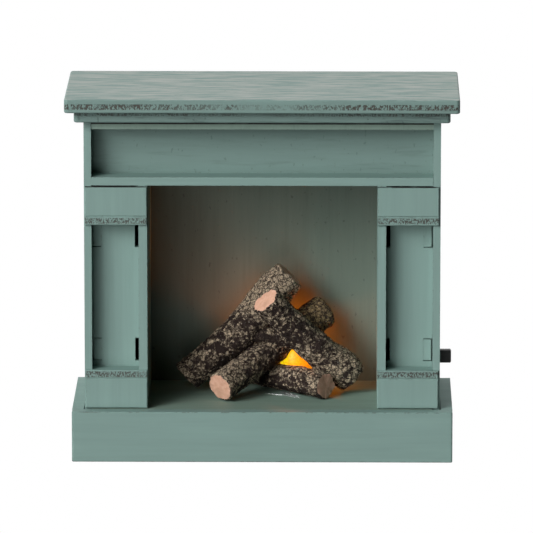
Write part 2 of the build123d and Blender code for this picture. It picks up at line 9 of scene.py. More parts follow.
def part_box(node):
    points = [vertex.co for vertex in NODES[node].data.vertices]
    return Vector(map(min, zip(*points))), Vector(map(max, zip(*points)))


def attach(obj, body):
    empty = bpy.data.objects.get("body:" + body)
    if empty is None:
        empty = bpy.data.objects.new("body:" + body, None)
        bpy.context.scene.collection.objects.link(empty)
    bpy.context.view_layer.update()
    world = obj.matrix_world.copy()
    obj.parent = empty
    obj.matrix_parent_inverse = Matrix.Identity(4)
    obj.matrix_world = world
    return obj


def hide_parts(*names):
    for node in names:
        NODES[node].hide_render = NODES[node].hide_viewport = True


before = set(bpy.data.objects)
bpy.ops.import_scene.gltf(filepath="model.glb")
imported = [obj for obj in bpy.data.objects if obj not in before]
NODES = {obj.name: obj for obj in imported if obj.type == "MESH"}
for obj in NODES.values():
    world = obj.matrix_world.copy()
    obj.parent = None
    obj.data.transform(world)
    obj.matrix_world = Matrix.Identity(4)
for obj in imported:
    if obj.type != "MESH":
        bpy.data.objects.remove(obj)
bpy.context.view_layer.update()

MM = 0.001
SHELF_LOW, SHELF_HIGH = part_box("mantel_shelf")


def add_object(name, data):
    """A new object with this data, linked to the scene."""
    made = bpy.data.objects.new(name, data)
    bpy.context.scene.collection.objects.link(made)
    return made


# ---------------------------------------------------------------- camera

CAMERA_TARGET = Vector((1.4, -21.0, 64.6)) * MM
CAMERA_DISTANCE = 2.124
CAMERA_DOWN = math.radians(11.657)
CAMERA_TURN = math.radians(0.677)
CAMERA_LENS = 440.9
CAMERA_SENSOR = 36
CAMERA_NEAR = 0.1
CAMERA_FAR = 20


def make_camera():
    """A long lens, a little above the object and slightly to the right of its front."""
    data = bpy.data.cameras.new("camera")
    data.lens = CAMERA_LENS
    data.sensor_width = CAMERA_SENSOR
    data.clip_start = CAMERA_NEAR
    data.clip_end = CAMERA_FAR
    camera = add_object("camera", data)
    camera.rotation_euler = (math.pi / 2 - CAMERA_DOWN, 0, CAMERA_TURN)
    away = Vector(
        (
            math.sin(CAMERA_TURN) * math.cos(CAMERA_DOWN),
            -math.cos(CAMERA_TURN) * math.cos(CAMERA_DOWN),
            math.sin(CAMERA_DOWN),
        )
    )
    camera.location = CAMERA_TARGET + away * CAMERA_DISTANCE
    bpy.context.scene.camera = camera


# ---------------------------------------------------------------- shader helpers


class Shader:
    """A material's node tree with a principled shader, and short ways to add to it."""

    def __init__(self, name):
        self.material = bpy.data.materials.new(name)
        self.material.use_nodes = True
        self.tree = self.material.node_tree
        self.main = self.tree.nodes["Principled BSDF"]
        self.place = self.add("ShaderNodeTexCoord").outputs["Object"]

    def add(self, kind, **settings):
        """A new node of this kind, with these settings."""
        node = self.tree.nodes.new(kind)
        for key, value in settings.items():
            setattr(node, key, value)
        return node

    def put(self, socket, value):
        """Link an output to a socket, or set a plain value on it."""
        if isinstance(value, bpy.types.NodeSocket):
            self.tree.links.new(value, socket)
        else:
            socket.default_value = value

    def stretched(self, scale):
        """The object's coordinates in metres, multiplied on each axis."""
        node = self.add("ShaderNodeMapping")
        self.put(node.inputs["Vector"], self.place)
        node.inputs["Scale"].default_value = scale
        return node.outputs["Vector"]

    def noise(self, scale, detail=3.0, roughness=0.55, where=None, distortion=0.0):
        """Noise from 0 to 1, at the object's own coordinates unless others are given."""
        node = self.add("ShaderNodeTexNoise")
        self.put(node.inputs["Vector"], self.place if where is None else where)
        node.inputs["Scale"].default_value = scale
        node.inputs["Detail"].default_value = detail
        node.inputs["Roughness"].default_value = roughness
        node.inputs["Distortion"].default_value = distortion
        return node.outputs["Fac"]

    def ramp(self, value, stops):
        """A colour ramp; each stop is (position, grey or colour)."""
        node = self.add("ShaderNodeValToRGB")
        elements = node.color_ramp.elements
        while len(elements) < len(stops):
            elements.new(0.5)
        for element, (position, colour) in zip(elements, stops):
            element.position = position
            channels = (colour,) * 3 if isinstance(colour, (int, float)) else colour
            element.color = (*channels, 1)
        self.put(node.inputs["Fac"], value)
        return node.outputs["Color"]

    def math(self, operation, first, second=0.0, clamp=False):
        """The result of an operation on one or two values or outputs."""
        node = self.add("ShaderNodeMath", operation=operation, use_clamp=clamp)
        self.put(node.inputs[0], first)
        self.put(node.inputs[1], second)
        return node.outputs["Value"]

    def mix(self, factor, first, second, blend="MIX"):
        """Two colours blended: the first alone at a factor of 0, and the full blend at 1."""
        node = self.add("ShaderNodeMix", data_type="RGBA", blend_type=blend)
        self.put(node.inputs["Factor"], factor)
        colour_inputs = [s for s in node.inputs if s.type == "RGBA"]
        for socket, value in zip(colour_inputs, (first, second)):
            if isinstance(value, tuple) and len(value) == 3:
                value = (*value, 1)
            self.put(socket, value)
        return [s for s in node.outputs if s.type == "RGBA"][0]

    def axis(self, name):
        """The object's X, Y or Z coordinate in metres."""
        node = self.add("ShaderNodeSeparateXYZ")
        self.put(node.inputs["Vector"], self.place)
        return node.outputs[name]

    def near(self, value, centre, half_width, soft):
        """1 where value is within half_width of centre, falling to 0 over soft."""
        away = self.math("ABSOLUTE", self.math("SUBTRACT", value, centre))
        inside = self.math("SUBTRACT", half_width + soft, away)
        return self.math("DIVIDE", inside, soft, clamp=True)

    def bump(self, height, distance, strength=1.0):
        """Fine relief, on top of any that the material already has."""
        node = self.add("ShaderNodeBump")
        node.inputs["Distance"].default_value = distance
        node.inputs["Strength"].default_value = strength
        self.put(node.inputs["Height"], height)
        if self.main.inputs["Normal"].is_linked:
            self.put(node.inputs["Normal"], self.main.inputs["Normal"].links[0].from_socket)
        self.put(self.main.inputs["Normal"], node.outputs["Normal"])

    def set(self, **values):
        """Set or link the principled shader's inputs."""
        names = {
            "colour": "Base Color",
            "roughness": "Roughness",
            "metallic": "Metallic",
            "specular": "Specular IOR Level",
            "ior": "IOR",
            "transmission": "Transmission Weight",
            "glow": "Emission Color",
            "glow_strength": "Emission Strength",
        }
        for key, value in values.items():
            if isinstance(value, tuple) and len(value) == 3:
                value = (*value, 1)
            self.put(self.main.inputs[names[key]], value)


# ---------------------------------------------------------------- paint

PAINT = (0.196, 0.305, 0.276)
DUST_AND_SHEEN_GREY = (0.385, 0.424, 0.392)
WORN = (0.048, 0.042, 0.034)
SEAM_AND_SHADOW = (0.006, 0.006, 0.005)

# How fine each pattern in the paint is, in waves per metre, along X, Y and Z where it has three
GRAIN_FINE = 900.0
GRAIN_LONG = 45.0
CLOUD_SCALE = 60.0
SPECK_SCALE = (700, 700, 420)
DUST_AND_SHEEN_SCALE = (75, 620, 620)
KNOT_SCALE = (260, 560, 560)
NICK_SCALE = 420.0
SEAM_AND_SHADOW_BREAK_SCALE = 110.0
PIT_SCALE = (2100, 900, 1150)
PIT_PATCH_SCALE = 75.0

# Sizes in mm
PIT_SPREAD = 110.0
PIT_FADE = 0.3
SEAM_AND_SHADOW_FADE = 0.08
WORN_CORNER = 0.3
PAINT_RELIEF = 0.05

PIT_TURN = 35.0  # degrees
CORNER_GAIN = 9.0
CORNER_WEAR = 0.7


def shade(colour, share):
    """A colour made darker or lighter by a share."""
    return tuple(share * channel for channel in colour)


def grain_scale(along, stretch=1.0):
    """A stretched scale that draws fibres along X, Y or Z."""
    return tuple(GRAIN_LONG * stretch if axis == along else GRAIN_FINE for axis in "XYZ")


def worn_band(shader, centre, half, strength):
    """Pits of open end grain in a level band, in patches that are densest towards both ends."""
    turned = shader.add("ShaderNodeMapping")
    shader.put(turned.inputs["Vector"], shader.place)
    turned.inputs["Rotation"].default_value = (0, math.radians(PIT_TURN), 0)
    turned.inputs["Scale"].default_value = PIT_SCALE
    pits = shader.noise(1.0, 2, 0.6, turned.outputs["Vector"], 0.4)
    patch = shader.noise(PIT_PATCH_SCALE, 3, 0.6)
    outward = shader.math("DIVIDE", shader.math("ABSOLUTE", shader.axis("X")), PIT_SPREAD * MM)
    patch = shader.math("ADD", patch, outward)
    band = shader.near(shader.axis("Z"), centre, half, PIT_FADE * MM)
    cut = shader.ramp(pits, ((0.47, 0.0), (0.54, 1.0)))
    mask = shader.math("MULTIPLY", cut, band)
    amount = shader.ramp(patch, ((0.43, 0.0), (0.80, strength)))
    return shader.math("MULTIPLY", mask, amount)


def paint(
    name, along, tone=1.0, bands=(), streaks=0.0, specks=0.0, tint=(1, 1, 1), top=None, seam_and_shadow=None
):
    """Chalky paint over wood whose grain runs along X, Y or Z.

    tone makes it darker or lighter and tint colours it. bands are (centre Z, half height,
    strength) of open end grain. streaks and specks are the strength of dark stains. top is the
    Z above which grey streaks lie: dusted paint, and a painted sheen of glancing light. The last
    argument is (centre Z, half height, how broken) of a dark line: a real joint on the cap
    blocks, and a painted shadow under the moulding on the top board.
    """
    shader = Shader(name)
    base = tuple(tone * channel * share for channel, share in zip(PAINT, tint))
    fibre = shader.noise(1.0, 4, 0.6, shader.stretched(grain_scale(along)), 0.2)
    brush = shader.noise(0.35, 3, 0.5, shader.stretched(grain_scale(along)))
    cloud = shader.noise(CLOUD_SCALE, 3, 0.5)
    colour = shader.mix(shader.ramp(fibre, ((0.3, 0.0), (0.75, 1.0))), shade(base, 0.93), base)
    colour = shader.mix(shader.ramp(brush, ((0.4, 0.0), (0.75, 1.0))), colour, shade(base, 1.07))
    colour = shader.mix(shader.ramp(cloud, ((0.35, 0.5), (0.65, 0.0))), colour, shade(base, 0.95))
    if streaks:
        stain = shader.noise(0.6, 4, 0.7, shader.stretched(grain_scale(along, 2.0)), 0.4)
        amount = shader.ramp(stain, ((0.54, 0.0), (0.68, streaks)))
        colour = shader.mix(amount, colour, shade(base, 0.30))
    if specks:
        dots = shader.noise(1.0, 2, 0.5, shader.stretched(SPECK_SCALE))
        amount = shader.ramp(dots, ((0.66, 0.0), (0.72, specks)))
        colour = shader.mix(amount, colour, shade(base, 0.35))
    if top is not None:
        upward = shader.math("GREATER_THAN", shader.axis("Z"), top)
        # Grey streaks on the level top: real dirt from dusting, and a painted sheen that stands
        # in for light glancing off the top.
        dust_and_sheen_pattern = shader.noise(1.0, 5, 0.68, shader.stretched(DUST_AND_SHEEN_SCALE), 0.25)
        amount = shader.ramp(dust_and_sheen_pattern, ((0.40, 0.0), (0.60, 1.0)))
        dust_and_sheen = shader.mix(amount, shade(PAINT, 0.94), DUST_AND_SHEEN_GREY)
        knots = shader.noise(1.0, 3, 0.6, shader.stretched(KNOT_SCALE), 0.5)
        amount = shader.ramp(knots, ((0.68, 0.0), (0.74, 0.6)))
        dust_and_sheen = shader.mix(amount, dust_and_sheen, shade(PAINT, 0.40))
        colour = shader.mix(upward, colour, dust_and_sheen)
    height = shader.math("MULTIPLY", fibre, 0.6)
    height = shader.math("ADD", height, shader.math("MULTIPLY", brush, 0.8))
    roughness = shader.ramp(fibre, ((0.2, 0.72), (0.8, 0.58)))

    bevel = shader.add("ShaderNodeBevel", samples=4)
    bevel.inputs["Radius"].default_value = WORN_CORNER * MM
    geometry = shader.add("ShaderNodeNewGeometry")
    dot = shader.add("ShaderNodeVectorMath", operation="DOT_PRODUCT")
    shader.put(dot.inputs[0], bevel.outputs["Normal"])
    shader.put(dot.inputs[1], geometry.outputs["Normal"])
    corner = shader.math("SUBTRACT", 1.0, dot.outputs["Value"])
    corner = shader.math("MULTIPLY", corner, CORNER_GAIN, clamp=True)
    nick = shader.ramp(shader.noise(NICK_SCALE, 4, 0.7), ((0.50, 0.0), (0.60, 1.0)))
    worn = shader.math("MULTIPLY", shader.math("MULTIPLY", corner, nick), CORNER_WEAR)
    for centre, half, strength in bands:
        worn = shader.math("MAXIMUM", worn, worn_band(shader, centre, half, strength))
    colour = shader.mix(worn, colour, WORN)
    # A dark line: a real joint on the cap blocks, and painted shadow on the top board where the
    # moulding overhangs it.
    if seam_and_shadow:
        centre, half, gaps = seam_and_shadow
        broken = shader.noise(SEAM_AND_SHADOW_BREAK_SCALE, 3, 0.6)
        broken = shader.ramp(broken, ((0.38, 1 - gaps), (0.50, 1.0)))
        line = shader.near(shader.axis("Z"), centre, half, SEAM_AND_SHADOW_FADE * MM)
        colour = shader.mix(shader.math("MULTIPLY", line, broken), colour, SEAM_AND_SHADOW)
    height = shader.math("SUBTRACT", height, shader.math("MULTIPLY", worn, 2.5))
    shader.set(colour=colour, roughness=roughness, specular=0.5)
    shader.bump(height, PAINT_RELIEF * MM, 0.8)
    return shader.material


def dress(node, material):
    """Give a CAD node its material."""
    piece = NODES[node]
    piece.data.materials.clear()
    piece.data.materials.append(material)
    return piece


WELD_REACH = 0.002
SHARP_EDGE = 40.0


def weld(piece):
    """Join the corners that the faces of a CAD mesh share."""
    piece.modifiers.new("weld", "WELD").merge_threshold = WELD_REACH * MM


def soften(node, width):
    """Round a board's sawn edges a little, as paint and sanding leave them."""
    piece = NODES[node]
    weld(piece)
    bevel = piece.modifiers.new("softened_edges", "BEVEL")
    bevel.width = width
    bevel.segments = 2
    bevel.limit_method = "ANGLE"
    bevel.angle_limit = math.radians(SHARP_EDGE)
    bevel.harden_normals = False


# ---------------------------------------------------------------- logs

BARK_DARK = (0.026, 0.016, 0.013)
BARK_MID = (0.090, 0.062, 0.048)
BARK_TAN = (0.58, 0.46, 0.32)
BARK_OLIVE = (0.335, 0.240, 0.118)
BARK_GLINT = (0.48, 0.44, 0.38)
CUT_WOOD = (0.60, 0.33, 0.225)
CUT_WOOD_PALE = (0.70, 0.43, 0.31)
CUT_WOOD_DEEP = (0.42, 0.23, 0.15)

# Flakes of bark in two sizes: (cells per metre, how far its cracks open, share in the score)
FLAKES = ((560.0, 0.12, 0.30), (1150.0, 0.07, 0.38))
PATCH_SCALE = 230.0
PATCH_SHARE = 0.60
RELIEF_SHARE = 0.30
PALE_AND_LIGHT_SHARE = 0.23
WARP_SCALE = 700.0
WARP_REACH = 2.0
FINE_SCALE = 2300.0
GLINT_SCALE = 1700.0
CRACK_DEPTH = 0.18
CUT_FIBRE_SCALE = 700.0
CUT_STAIN_SCALE = 260.0
CUT_RELIEF = 0.1


def bark_material(name, tan):
    """Rough bark: angular flakes whose colour is tan, parted by dark cracks.

    It reads two values of the mesh: bark_height is its relief, and the other is how pale it
    is, partly the bark's own tone and partly painted light on bark that faces upwards.
    """
    shader = Shader(name)
    height = shader.add("ShaderNodeAttribute", attribute_name="bark_height").outputs["Fac"]
    # How pale the bark is: its own tone along each log, plus painted light on bark that faces
    # upwards.
    pale = shader.add("ShaderNodeAttribute", attribute_name="bark_pale_and_light").outputs["Fac"]
    warp = shader.add("ShaderNodeTexNoise")
    warp.inputs["Scale"].default_value = WARP_SCALE
    warp.inputs["Detail"].default_value = 5.0
    warp.inputs["Roughness"].default_value = 0.7
    shader.put(warp.inputs["Vector"], shader.place)
    push = shader.add("ShaderNodeVectorMath", operation="SCALE")
    shader.put(push.inputs[0], warp.outputs["Color"])
    push.inputs["Scale"].default_value = WARP_REACH * MM
    where = shader.add("ShaderNodeVectorMath", operation="ADD")
    shader.put(where.inputs[0], shader.place)
    shader.put(where.inputs[1], push.outputs["Vector"])
    scores = []
    cracks = []
    for scale, open_to, share in FLAKES:
        cells = shader.add("ShaderNodeTexVoronoi", feature="F1")
        cells.inputs["Scale"].default_value = scale
        shader.put(cells.inputs["Vector"], where.outputs["Vector"])
        split = shader.add("ShaderNodeSeparateColor")
        shader.put(split.inputs["Color"], cells.outputs["Color"])
        scores.append(shader.math("MULTIPLY", split.outputs["Red"], share))
        edges = shader.add("ShaderNodeTexVoronoi", feature="DISTANCE_TO_EDGE")
        edges.inputs["Scale"].default_value = scale
        shader.put(edges.inputs["Vector"], where.outputs["Vector"])
        stops = ((0.015, 0.0), (open_to, 1.0))
        cracks.append(shader.ramp(edges.outputs["Distance"], stops))
    crack = shader.math("MULTIPLY", cracks[0], cracks[1])
    patch = shader.noise(PATCH_SCALE, 3, 0.6, None, 0.4)
    relief = shader.math("SUBTRACT", height, 0.5)
    scores.append(shader.math("MULTIPLY", relief, RELIEF_SHARE))
    scores.append(shader.math("MULTIPLY", pale, PALE_AND_LIGHT_SHARE))
    score = shader.math("MULTIPLY", patch, PATCH_SHARE)
    for part in scores:
        score = shader.math("ADD", score, part)
    deep = shade(tan, 0.42)
    stops = ((0.59, BARK_DARK), (0.67, BARK_MID), (0.73, deep), (0.79, tan))
    flake = shader.ramp(score, stops)
    fine = shader.noise(FINE_SCALE, 3, 0.75)
    flake = shader.mix(shader.ramp(fine, ((0.38, 0.8), (0.47, 0.0))), flake, BARK_DARK)
    glint = shader.ramp(shader.noise(GLINT_SCALE, 2, 0.5), ((0.66, 0.0), (0.69, 0.7)))
    flake = shader.mix(shader.math("MULTIPLY", glint, crack), flake, BARK_GLINT)
    colour = shader.mix(crack, BARK_DARK, flake)
    shader.set(colour=colour, roughness=0.85, specular=0.22)
    relief = shader.math("ADD", crack, shader.math("MULTIPLY", fine, 0.8))
    shader.bump(relief, CRACK_DEPTH * MM, 0.9)
    return shader.material


def cut_wood_material(name, tone):
    """Sawn end grain; tone lightens or darkens it."""
    shader = Shader(name)
    fibre = shader.noise(CUT_FIBRE_SCALE, 4, 0.65, None, 0.3)
    stain = shader.noise(CUT_STAIN_SCALE, 2, 0.5)
    amount = shader.ramp(fibre, ((0.35, 0.0), (0.7, 1.0)))
    colour = shader.mix(amount, shade(CUT_WOOD, tone), shade(CUT_WOOD_PALE, tone))
    amount = shader.ramp(stain, ((0.5, 0.0), (0.72, 0.55)))
    colour = shader.mix(amount, colour, shade(CUT_WOOD_DEEP, tone))
    shader.set(colour=colour, roughness=0.75, specular=0.3)
    shader.bump(fibre, CUT_RELIEF * MM, 0.7)
    return shader.material


FEWEST_CORNERS = 7
SECTION_GAP = 0.4
PLANE_STEP = 0.1


def sections_of(node):
    """The rings of corners of a log's CAD solid: their places along it, centres and radii.

    The log's axis is the face normal along which its corners lie in the fewest planes, turned
    to point upwards. A ring with too few corners to be a section is left out.
    """
    mesh = NODES[node].data
    points = np.array([v.co for v in mesh.vertices])
    middle = points.mean(0)
    normals = {}
    for face in mesh.polygons:
        normals[tuple(round(value, 2) for value in face.normal)] = face.normal
    steps = {}
    for key, normal in normals.items():
        steps[key] = len(np.unique(np.round(points @ np.array(normal) / (PLANE_STEP * MM))))
    direction = np.array(normals[min(steps, key=lambda key: (steps[key], key))])
    if direction[2] < 0:
        direction = -direction
    along = (points - middle) @ direction
    order = np.argsort(along)
    groups = np.split(order, np.where(np.diff(along[order]) > SECTION_GAP * MM)[0] + 1)
    corners = [np.unique(np.round(points[group], 6), axis=0) for group in groups]
    places, centres, radii = [], [], []
    for ring in [ring for ring in corners if len(ring) >= FEWEST_CORNERS]:
        centre = ring.mean(0)
        places.append((centre - middle) @ direction)
        centres.append(centre)
        radii.append(np.linalg.norm(ring - centre, axis=1).max())
    return np.array(places), np.array(centres), np.array(radii)


def pale_curve(share, pale):
    """How pale the bark is at a share of a log's length, from (share, value) pairs."""
    spots, values = zip(*pale)
    return float(np.interp(share, spots, values))


# A log's skin: points around it, patterns in waves per metre, and lengths in mm
AROUND = 150
RING_STEP = 0.24
FEWEST_RINGS = 60
LUMP_SCALE = 150
FLAKE_SCALE = 620
HOLE_SCALE = 1500
BARK_RELIEF = 0.42
RIM_LENGTH = 0.7
RIM_DROP = 0.45
RAGGED_LENGTH = 1.5
RAGGED_REACH = 0.35
SLANT_LENGTH = 7.0
SLANT_SIDE = Vector((-0.8, 1.0, -0.8))
SWELL = 1.04
DOME_SHARE = 0.5

# A log's sawn ends: rings as shares of the radius, a pattern per metre, and depths in mm
CUT_RINGS = (0.93, 0.8, 0.62, 0.42, 0.2)
CUT_SCALE = 900
CUT_DENT = 0.10
CUT_BULGE = 0.03

OFFCUT_VOXEL = 0.2
OFFCUT_RELIEF = 0.25
OFFCUT_PAINTED_TOP_LIGHT = 0.8


def seed_offset(seed):
    """Where in the noise a log takes its pattern from."""
    return Vector((seed * 7.31, seed * 3.17, seed * 5.77))


def flake_height(place, offset):
    """The stepped relief of flaking bark, from -0.5 to 0.5."""
    flakes = noise.fractal(place * FLAKE_SCALE + offset, 0.5, 2.1, 3)
    return max(-0.5, min(0.5, flakes * 2.4))


def bark_layers(bm):
    """The two vertex values that bark_material reads."""
    return bm.verts.layers.float.new("bark_height"), bm.verts.layers.float.new("bark_pale_and_light")


def close_end(bm, row, outward, axis, offset):
    """A sawn face over an end ring: flatter towards its middle than its ragged rim is."""
    middle = sum((v.co for v in row), Vector()) / AROUND
    pairs = zip(row, row[1:] + row[:1])
    crosses = ((v.co - middle).cross(after.co - middle) for v, after in pairs)
    facing = sum(crosses, Vector()).normalized()
    previous = row
    for share in CUT_RINGS:
        inner = []
        for vertex in row:
            reach = vertex.co - middle
            uneven = facing * reach.dot(facing)
            place = middle + (reach - uneven) * share + uneven * share ** 4
            dent = noise.fractal(place * CUT_SCALE + offset, 0.7, 2.0, 3) * CUT_DENT * MM
            inner.append(bm.verts.new(place + axis * (dent + outward * CUT_BULGE * MM)))
        for step in range(AROUND):
            after = (step + 1) % AROUND
            quad = (previous[step], previous[after], inner[after], inner[step])
            face = bm.faces.new(quad if outward > 0 else quad[::-1])
            face.material_index = 1
        previous = inner
    tip = bm.verts.new(middle)
    for step in range(AROUND):
        after = (step + 1) % AROUND
        trio = (previous[step], previous[after], tip)
        face = bm.faces.new(trio if outward > 0 else trio[::-1])
        face.material_index = 1


def make_log(
    node, seed, sides, facet, pale, painted_top_light=0.5, slant=0.0, dome=0.0, skin=None, cut=None
):
    """A log with rough bark and two sawn ends in the place of its CAD solid.

    Its section is a rounded polygon with this many sides, and facet says how flat they are.
    pale says where the bark is paler along it, from its lower to its upper end. The argument
    after it makes bark that faces upwards paler still, which is painted light from above. slant
    is how far its upper cut leans, with the log longest on SLANT_SIDE, and dome the length over
    which its upper end is rounded. skin and cut are its bark and sawn wood where they aren't the
    usual ones.
    """
    places, centres, radii = sections_of(node)
    start = Vector(centres[0])
    end = Vector(centres[-1])
    axis = (end - start).normalized()
    across = axis.cross(Vector((0, 0, 1))).normalized()
    upward = across.cross(axis).normalized()
    length = (end - start).length
    shares = (places - places[0]) / (places[-1] - places[0])
    rings = max(FEWEST_RINGS, int(length / (RING_STEP * MM)))
    fine = np.linspace(0, 1, rings + 1)
    window = np.hanning(2 * (rings // 9) + 1)
    window /= window.sum()

    def smooth(values):
        """Values at the sections, drawn as an even curve along the log."""
        line = np.interp(fine, shares, values)
        tail = len(window) // 2
        before = 2 * line[0] - line[tail:0:-1]
        beyond = 2 * line[-1] - line[-2:-tail - 2:-1]
        return np.convolve(np.concatenate((before, line, beyond)), window, "valid")

    middle_line = np.stack([smooth(centres[:, k]) for k in range(3)], 1)
    radius_line = smooth(radii) * SWELL
    offset = seed_offset(seed)
    slant_side = (SLANT_SIDE - axis * axis.dot(SLANT_SIDE)).normalized()
    bm = bmesh.new()
    height_layer, pale_and_light_layer = bark_layers(bm)

    def surface(turn, ring):
        """A point of the bark, its height there and how pale it is."""
        share = ring / rings
        radius = radius_line[ring]
        step = 2 * math.pi / sides
        flat = math.cos(step / 2) / math.cos((turn + seed + 0.25 * share) % step - step / 2)
        radius *= 1 + facet * (flat - 1)
        if dome:
            near_end = max(0.0, 1 - (1 - share) * length / dome)
            radius *= math.sqrt(1 - DOME_SHARE * near_end ** 2)
        direction = across * math.cos(turn) + upward * math.sin(turn)
        spot = Vector(middle_line[ring]) + direction * radius
        lumps = noise.fractal(spot * LUMP_SCALE + offset, 0.7, 2.0, 3) * 0.9
        holes = noise.fractal(spot * HOLE_SCALE + offset, 0.5, 2.0, 2)
        height = lumps * 0.45 + flake_height(spot, offset) * 0.55 + holes * 0.3
        from_end = min(share, 1 - share) * length
        rim = max(0.0, 1 - from_end / (RIM_LENGTH * MM)) ** 2 * RIM_DROP * MM
        place = spot + direction * ((height - 0.05) * BARK_RELIEF * MM - rim)
        ragged = max(0.0, 1 - from_end / (RAGGED_LENGTH * MM)) * (1 if share > 0.5 else -1)
        tear = noise.fractal(direction * 2.2 + offset, 0.8, 2.0, 3)
        place += axis * (ragged * RAGGED_REACH * MM * tear)
        near_top = max(0.0, 1 - (1 - share) * length / (SLANT_LENGTH * MM))
        place += axis * (near_top * slant * direction.dot(slant_side) * radius)
        # Painted light: bark facing upwards is made paler, as if lit from above.
        lit_upper_side = min(1.0, max(0.0, direction.z - 0.2) * 2)
        return place, 0.5 + 0.5 * height, pale_curve(share, pale) + painted_top_light * lit_upper_side

    grid = []
    for ring in range(rings + 1):
        row = []
        for step in range(AROUND):
            place, height, paleness_and_light = surface(2 * math.pi * step / AROUND, ring)
            vertex = bm.verts.new(place)
            vertex[height_layer] = height
            vertex[pale_and_light_layer] = paleness_and_light
            row.append(vertex)
        grid.append(row)
    for lower, upper in zip(grid, grid[1:]):
        for step in range(AROUND):
            after = (step + 1) % AROUND
            bm.faces.new((lower[step], lower[after], upper[after], upper[step]))
    for row, outward in ((grid[0], -1), (grid[-1], 1)):
        close_end(bm, row, outward, axis, offset)
    for face in bm.faces:
        face.smooth = True
    for row in (grid[0], grid[-1]):
        for vertex, following in zip(row, row[1:] + row[:1]):
            bm.edges.get((vertex, following)).smooth = False
    bmesh.ops.recalc_face_normals(bm, faces=bm.faces)
    mesh = bpy.data.meshes.new(node + "_bark")
    bm.to_mesh(mesh)
    bm.free()
    mesh.materials.append(skin or BARK)
    mesh.materials.append(cut or CUT)
    piece = add_object(node + "_bark", mesh)
    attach(piece, "carcass")
    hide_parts(node)


def make_offcut(node, seed):
    """The pared offcut: its CAD solid, remeshed finely and given rough bark."""
    mesh = NODES[node].data.copy()
    mesh.name = node + "_bark"
    piece = add_object(node + "_bark", mesh)
    weld(piece)
    remesh = piece.modifiers.new("fine_skin", "REMESH")
    remesh.mode = "VOXEL"
    remesh.voxel_size = OFFCUT_VOXEL * MM
    evaluated = piece.evaluated_get(bpy.context.evaluated_depsgraph_get())
    skin = bpy.data.meshes.new_from_object(evaluated)
    piece.modifiers.clear()
    bm = bmesh.new()
    bm.from_mesh(skin)
    height_layer, pale_and_light_layer = bark_layers(bm)
    offset = seed_offset(seed)
    bm.normal_update()
    for vertex in bm.verts:
        height = flake_height(vertex.co, offset)
        vertex[height_layer] = 0.5 + 0.5 * height
        # Painted light: the offcut is paler where it faces upwards, as if lit from above.
        vertex[pale_and_light_layer] = max(0.0, vertex.normal.z) * OFFCUT_PAINTED_TOP_LIGHT
        vertex.co += vertex.normal * (height * OFFCUT_RELIEF * MM)
    for face in bm.faces:
        face.smooth = True
    bm.to_mesh(skin)
    bm.free()
    piece.data = skin
    skin.name = node + "_bark"
    skin.materials.clear()
    skin.materials.append(BARK)
    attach(piece, "carcass")
    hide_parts(node)


# ---------------------------------------------------------------- embers

EMBER_YELLOW = (0.98, 0.70, 0.008)
EMBER_AMBER = (0.95, 0.46, 0.004)
EMBER_ORANGE = (0.80, 0.25, 0.004)
GLOW_MOTTLE_SCALE = 420.0
CRINKLE_SCALE = 1900.0
EMBER_RELIEF = 0.2


def ember_material():
    """Painted glow for the lit lump around the lamp and for its bulb: yellow at the left fading
    to orange at the right, a painted falloff of the lamp's light, darkened in its crinkles as
    painted shade.
    """
    shader = Shader("ember_glow")
    low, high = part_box("ember_core")
    glow_mottle = shader.noise(GLOW_MOTTLE_SCALE, 4, 0.6, None, 0.5)
    across = shader.math("SUBTRACT", shader.axis("X"), low.x)
    across = shader.math("DIVIDE", across, high.x - low.x)
    across = shader.math("MULTIPLY", across, 0.9)
    falloff_and_mottle = shader.math("ADD", across, shader.math("MULTIPLY", glow_mottle, 0.8))
    stops = ((0.55, EMBER_YELLOW), (0.75, EMBER_AMBER), (1.05, EMBER_ORANGE))
    colour = shader.ramp(falloff_and_mottle, stops)
    crinkle_shade = shader.ramp(shader.noise(CRINKLE_SCALE, 3, 0.65), ((0.38, 0.55), (0.52, 1.0)))
    colour = shader.mix(1.0, colour, crinkle_shade, "MULTIPLY")
    shader.set(colour=EMBER_ORANGE, glow=colour, glow_strength=1.0, roughness=0.4)
    shader.bump(glow_mottle, EMBER_RELIEF * MM, 0.6)
    return shader.material


# ---------------------------------------------------------------- small parts

MOTTLE_SCALE = 1500.0
SCRATCH_SCALE = (300, 300, 4000)
FINE_RELIEF = 0.01
RAW_WOOD = (0.36, 0.22, 0.12)
RAW_WOOD_PALE = (0.58, 0.42, 0.26)
GLUE = (0.8, 0.84, 0.82)
GLUE_INDEX = 1.48
RIPPLE_SCALE = 900.0
RIPPLE_DEPTH = 0.05


def plastic(name, colour, roughness):
    """Moulded plastic with a faint mottle."""
    shader = Shader(name)
    mottle = shader.noise(MOTTLE_SCALE, 3, 0.6)
    amount = shader.ramp(mottle, ((0.3, 0.0), (0.7, 1.0)))
    shader.set(
        colour=shader.mix(amount, shade(colour, 0.8), shade(colour, 1.2)),
        roughness=shader.ramp(mottle, ((0.3, roughness - 0.06), (0.7, roughness + 0.06))),
    )
    shader.bump(mottle, FINE_RELIEF * MM, 0.5)
    return shader.material


def metal(name, colour, roughness):
    """Plated steel with fine scratches."""
    shader = Shader(name)
    scratch = shader.noise(1.0, 3, 0.6, shader.stretched(SCRATCH_SCALE))
    shader.set(
        colour=shader.mix(scratch, shade(colour, 0.85), colour),
        metallic=1.0,
        roughness=shader.ramp(scratch, ((0.3, roughness - 0.08), (0.7, roughness + 0.1))),
    )
    shader.bump(scratch, FINE_RELIEF * MM, 0.4)
    return shader.material


